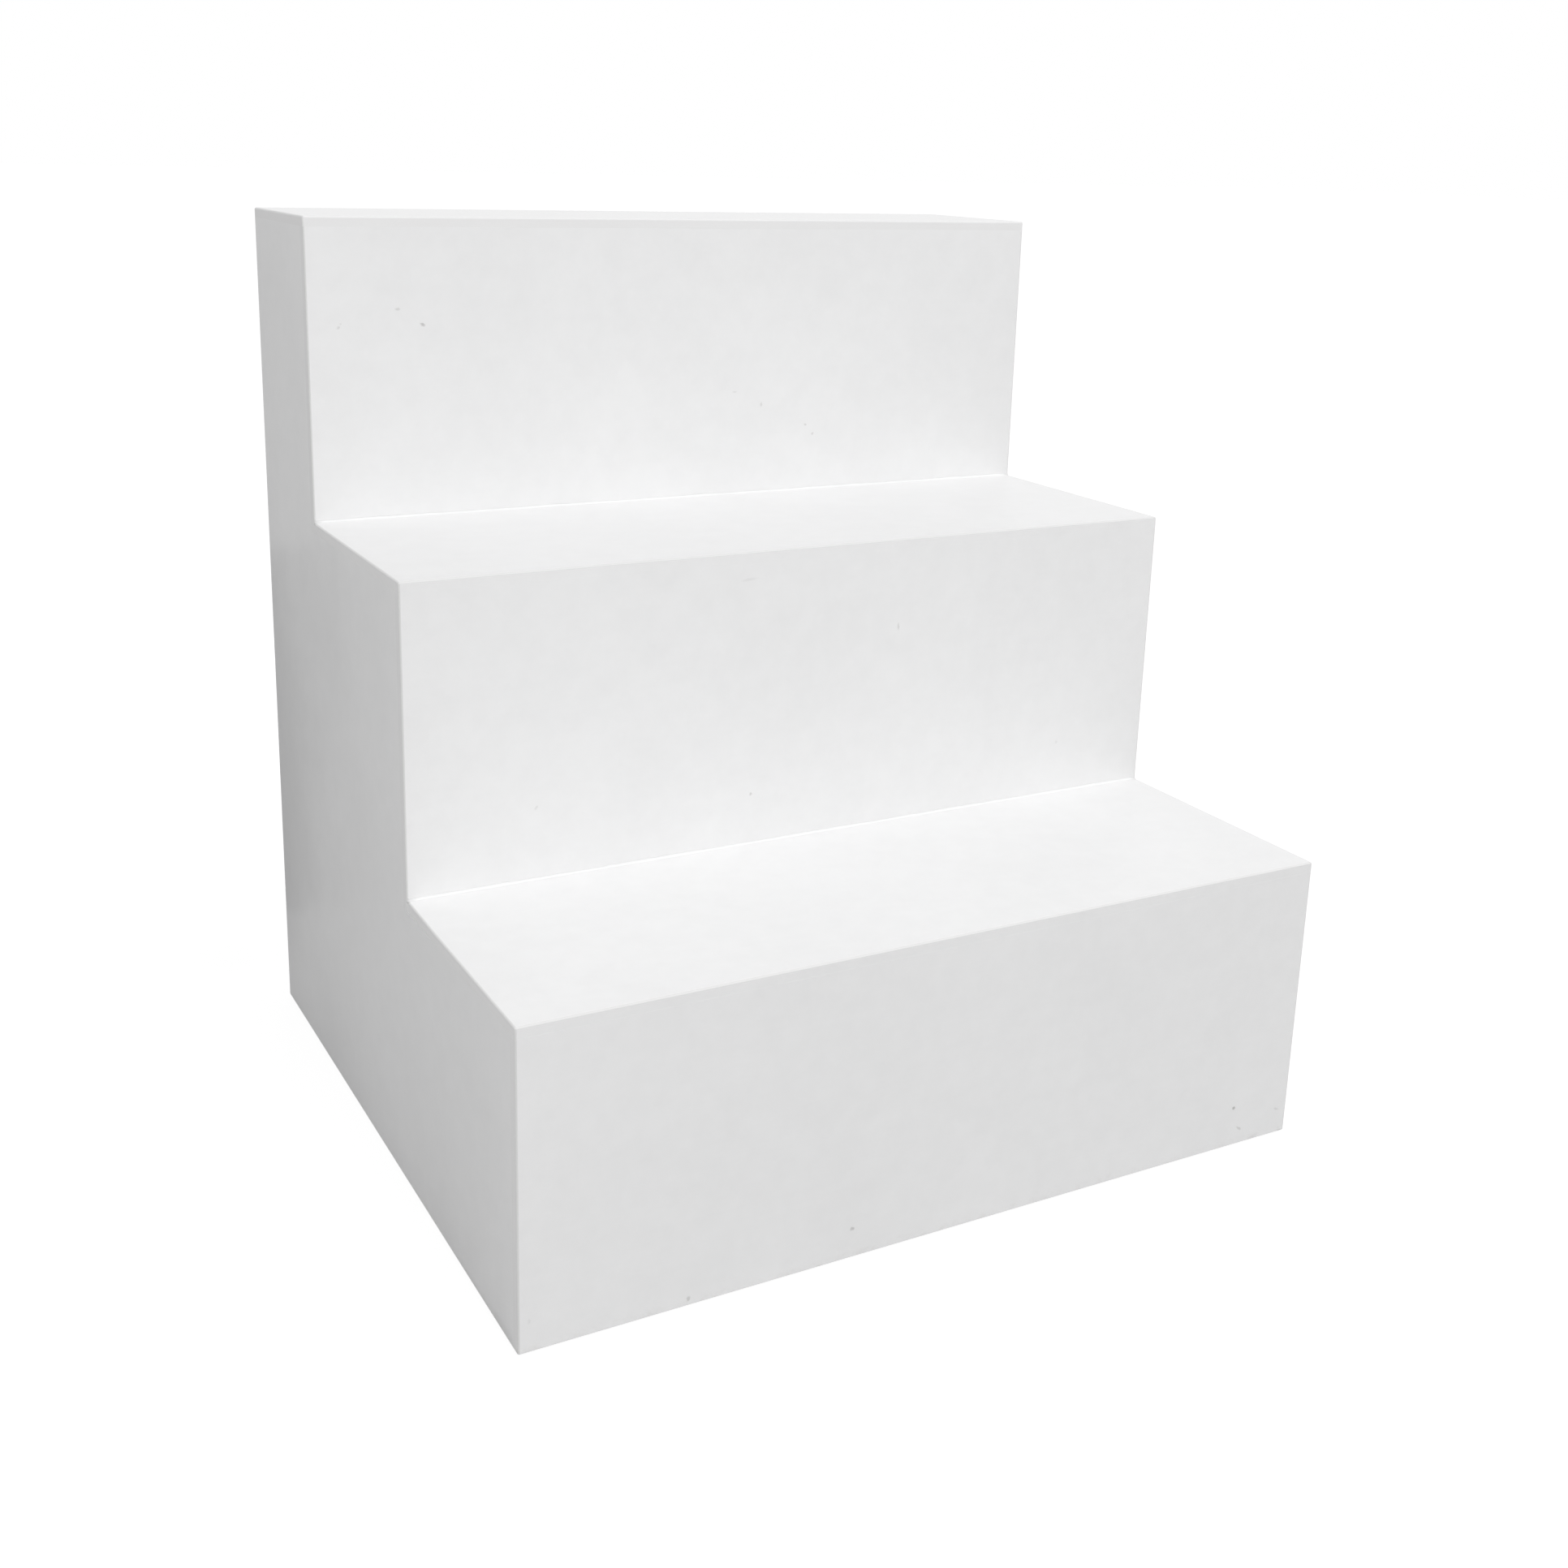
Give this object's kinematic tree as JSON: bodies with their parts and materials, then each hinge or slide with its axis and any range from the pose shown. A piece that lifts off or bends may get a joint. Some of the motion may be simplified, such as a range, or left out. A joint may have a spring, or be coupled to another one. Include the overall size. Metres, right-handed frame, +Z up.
{
  "type": "tiered display table",
  "caption": "Stepped display table of white painted board: stair-shaped sides, risers and treads on a hidden batten frame, with a screwed-on back and glides under its corners.",
  "frame": {"origin": "on the floor, under the centre of the table's bounding box", "axes": "+X to the right as seen from the front, +Y from the front to the back, +Z up"},
  "size_m": [1, 0.89, 1.065],
  "materials": {
    "white_paint": "satin white paint on fibreboard",
    "softwood": "planed and bare",
    "zinc_steel": "zinc plated",
    "nylon": "plain"
  },
  "bodies": {
    "root": {"back_base_rail": "softwood", "back_foot_screw_1": "zinc_steel", "back_foot_screw_2": "zinc_steel", "back_foot_screw_3": "zinc_steel", "back_left_screw_1": "zinc_steel", "back_left_screw_2": "zinc_steel", "back_left_screw_3": "zinc_steel", "back_left_screw_4": "zinc_steel", "back_left_screw_5": "zinc_steel", "back_panel": "white_paint", "back_right_screw_1": "zinc_steel", "back_right_screw_2": "zinc_steel", "back_right_screw_3": "zinc_steel", "back_right_screw_4": "zinc_steel", "back_right_screw_5": "zinc_steel", "back_top_screw_1": "zinc_steel", "back_top_screw_2": "zinc_steel", "back_top_screw_3": "zinc_steel", "front_base_rail": "softwood", "left_back_glide": "nylon", "left_back_post": "softwood", "left_base_rail": "softwood", "left_front_glide": "nylon", "left_front_post": "softwood", "left_lower_cleat": "softwood", "left_middle_cleat": "softwood", "left_middle_post": "softwood", "left_side_panel": "white_paint", "left_upper_cleat": "softwood", "left_upper_post": "softwood", "lower_bearer": "softwood", "lower_front_cleat": "softwood", "lower_ledger": "softwood", "lower_riser": "white_paint", "lower_tread": "white_paint", "middle_bearer": "softwood", "middle_front_cleat": "softwood", "middle_ledger": "softwood", "middle_riser": "white_paint", "middle_tread": "white_paint", "right_back_glide": "nylon", "right_back_post": "softwood", "right_base_rail": "softwood", "right_front_glide": "nylon", "right_front_post": "softwood", "right_lower_cleat": "softwood", "right_middle_cleat": "softwood", "right_middle_post": "softwood", "right_side_panel": "white_paint", "right_upper_cleat": "softwood", "right_upper_post": "softwood", "top_back_rail": "softwood", "top_panel": "white_paint", "upper_bearer": "softwood", "upper_front_cleat": "softwood", "upper_riser": "white_paint"}
  },
  "joints": []
}
